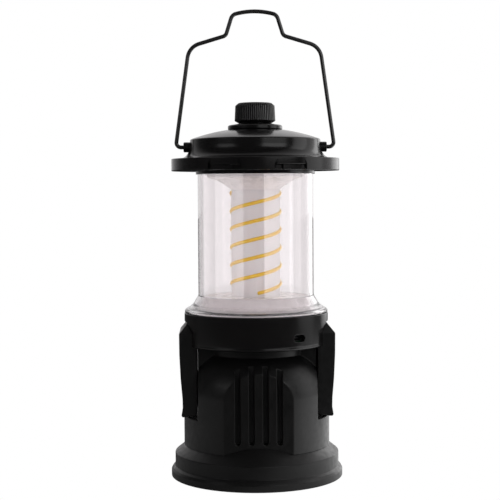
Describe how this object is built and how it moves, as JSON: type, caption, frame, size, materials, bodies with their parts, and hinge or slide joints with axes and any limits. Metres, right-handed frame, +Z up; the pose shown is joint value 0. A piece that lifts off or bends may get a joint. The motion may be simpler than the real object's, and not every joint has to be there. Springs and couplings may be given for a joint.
{
  "type": "camping lantern",
  "caption": "Upright battery camping lantern: round base, side latches, clear globe over a white column with spiral light filaments, brimmed lid, dimmer knob and hinged wire bail.",
  "frame": {"origin": "centre of the resting face under the foot", "axes": "+Z up through the dimmer knob, -Y to the front flat with the cooling grooves, +X to the right seen from the front; the bail stands upright in the XZ plane"},
  "size_m": [0.0938, 0.0938, 0.2538],
  "materials": {
    "black_gloss": "glossy moulded plastic",
    "black_satin": "satin moulded plastic",
    "black_inner": "matt inner moulding",
    "clear_globe": "clear moulded plastic",
    "white_reflector": "white, slightly glossy",
    "white_column": "white, diffusing",
    "led_filament": "yellow phosphor, unlit",
    "rubber_black": "matt",
    "screw_steel": "plated",
    "screw_black": "black finished steel",
    "contact_brass": "plated",
    "contact_dark": "dark plated",
    "wire_black": "black coated spring wire",
    "pcb_green": "solder mask",
    "cell_wrap": "shrink sleeve",
    "wire_red": "insulated wire"
  },
  "bodies": {
    "lantern": {"foot_ring": "rubber_black", "base_ring": "black_satin", "bottom_cover": "black_inner", "base_screws": "screw_steel", "battery_housing": "black_satin", "pack_lower_holder": "black_inner", "pack_upper_holder": "black_inner", "battery_cells": "cell_wrap", "cell_links": "screw_steel", "neck_cap": "black_inner", "neck_contacts": "contact_brass", "neck_seal": "rubber_black", "collar": "black_gloss", "collar_floor": "black_inner", "floor_screws": "screw_black", "control_board": "pcb_green", "board_parts": "black_inner", "board_screws": "screw_steel", "head_contacts": "contact_brass", "charge_port": "contact_dark", "port_tongue": "black_inner", "latch_pins": "screw_steel", "lower_reflector": "white_reflector", "globe_seal": "rubber_black", "globe": "clear_globe", "light_column": "white_column", "filament_a": "led_filament", "filament_b": "led_filament", "wire_harness": "wire_red", "upper_reflector": "white_reflector", "globe_top_seal": "rubber_black", "globe_ring": "black_gloss", "lid": "black_gloss", "lid_screws": "screw_black", "dimmer_board": "pcb_green", "dimmer_body": "black_inner", "dimmer_nut": "screw_steel", "knob_bezel": "black_gloss", "bail_lugs": "black_satin"},
    "bail": {"bail_handle": "wire_black"},
    "dimmer": {"dimmer_knob": "black_satin", "dimmer_shaft": "screw_steel"},
    "latch_l": {"latch_left": "black_satin"},
    "latch_r": {"latch_right": "black_satin"}
  },
  "joints": [
    {"name": "bail_hinge", "type": "hinge", "parent": "lantern", "child": "bail", "pos_m": [0, 0, 0.1794], "axis": [1, 0, 0], "range_deg": [-100, 100]},
    {"name": "dimmer_turn", "type": "hinge", "parent": "lantern", "child": "dimmer", "pos_m": [0, 0, 0.1923], "axis": [0, 0, -1], "range_deg": [0, 280]},
    {"name": "latch_left_hinge", "type": "hinge", "parent": "lantern", "child": "latch_l", "pos_m": [-0.037, 0, 0.079], "axis": [0, 1, 0], "range_deg": [0, 30]},
    {"name": "latch_right_hinge", "type": "hinge", "parent": "lantern", "child": "latch_r", "pos_m": [0.037, 0, 0.079], "axis": [0, -1, 0], "range_deg": [0, 30]}
  ]
}
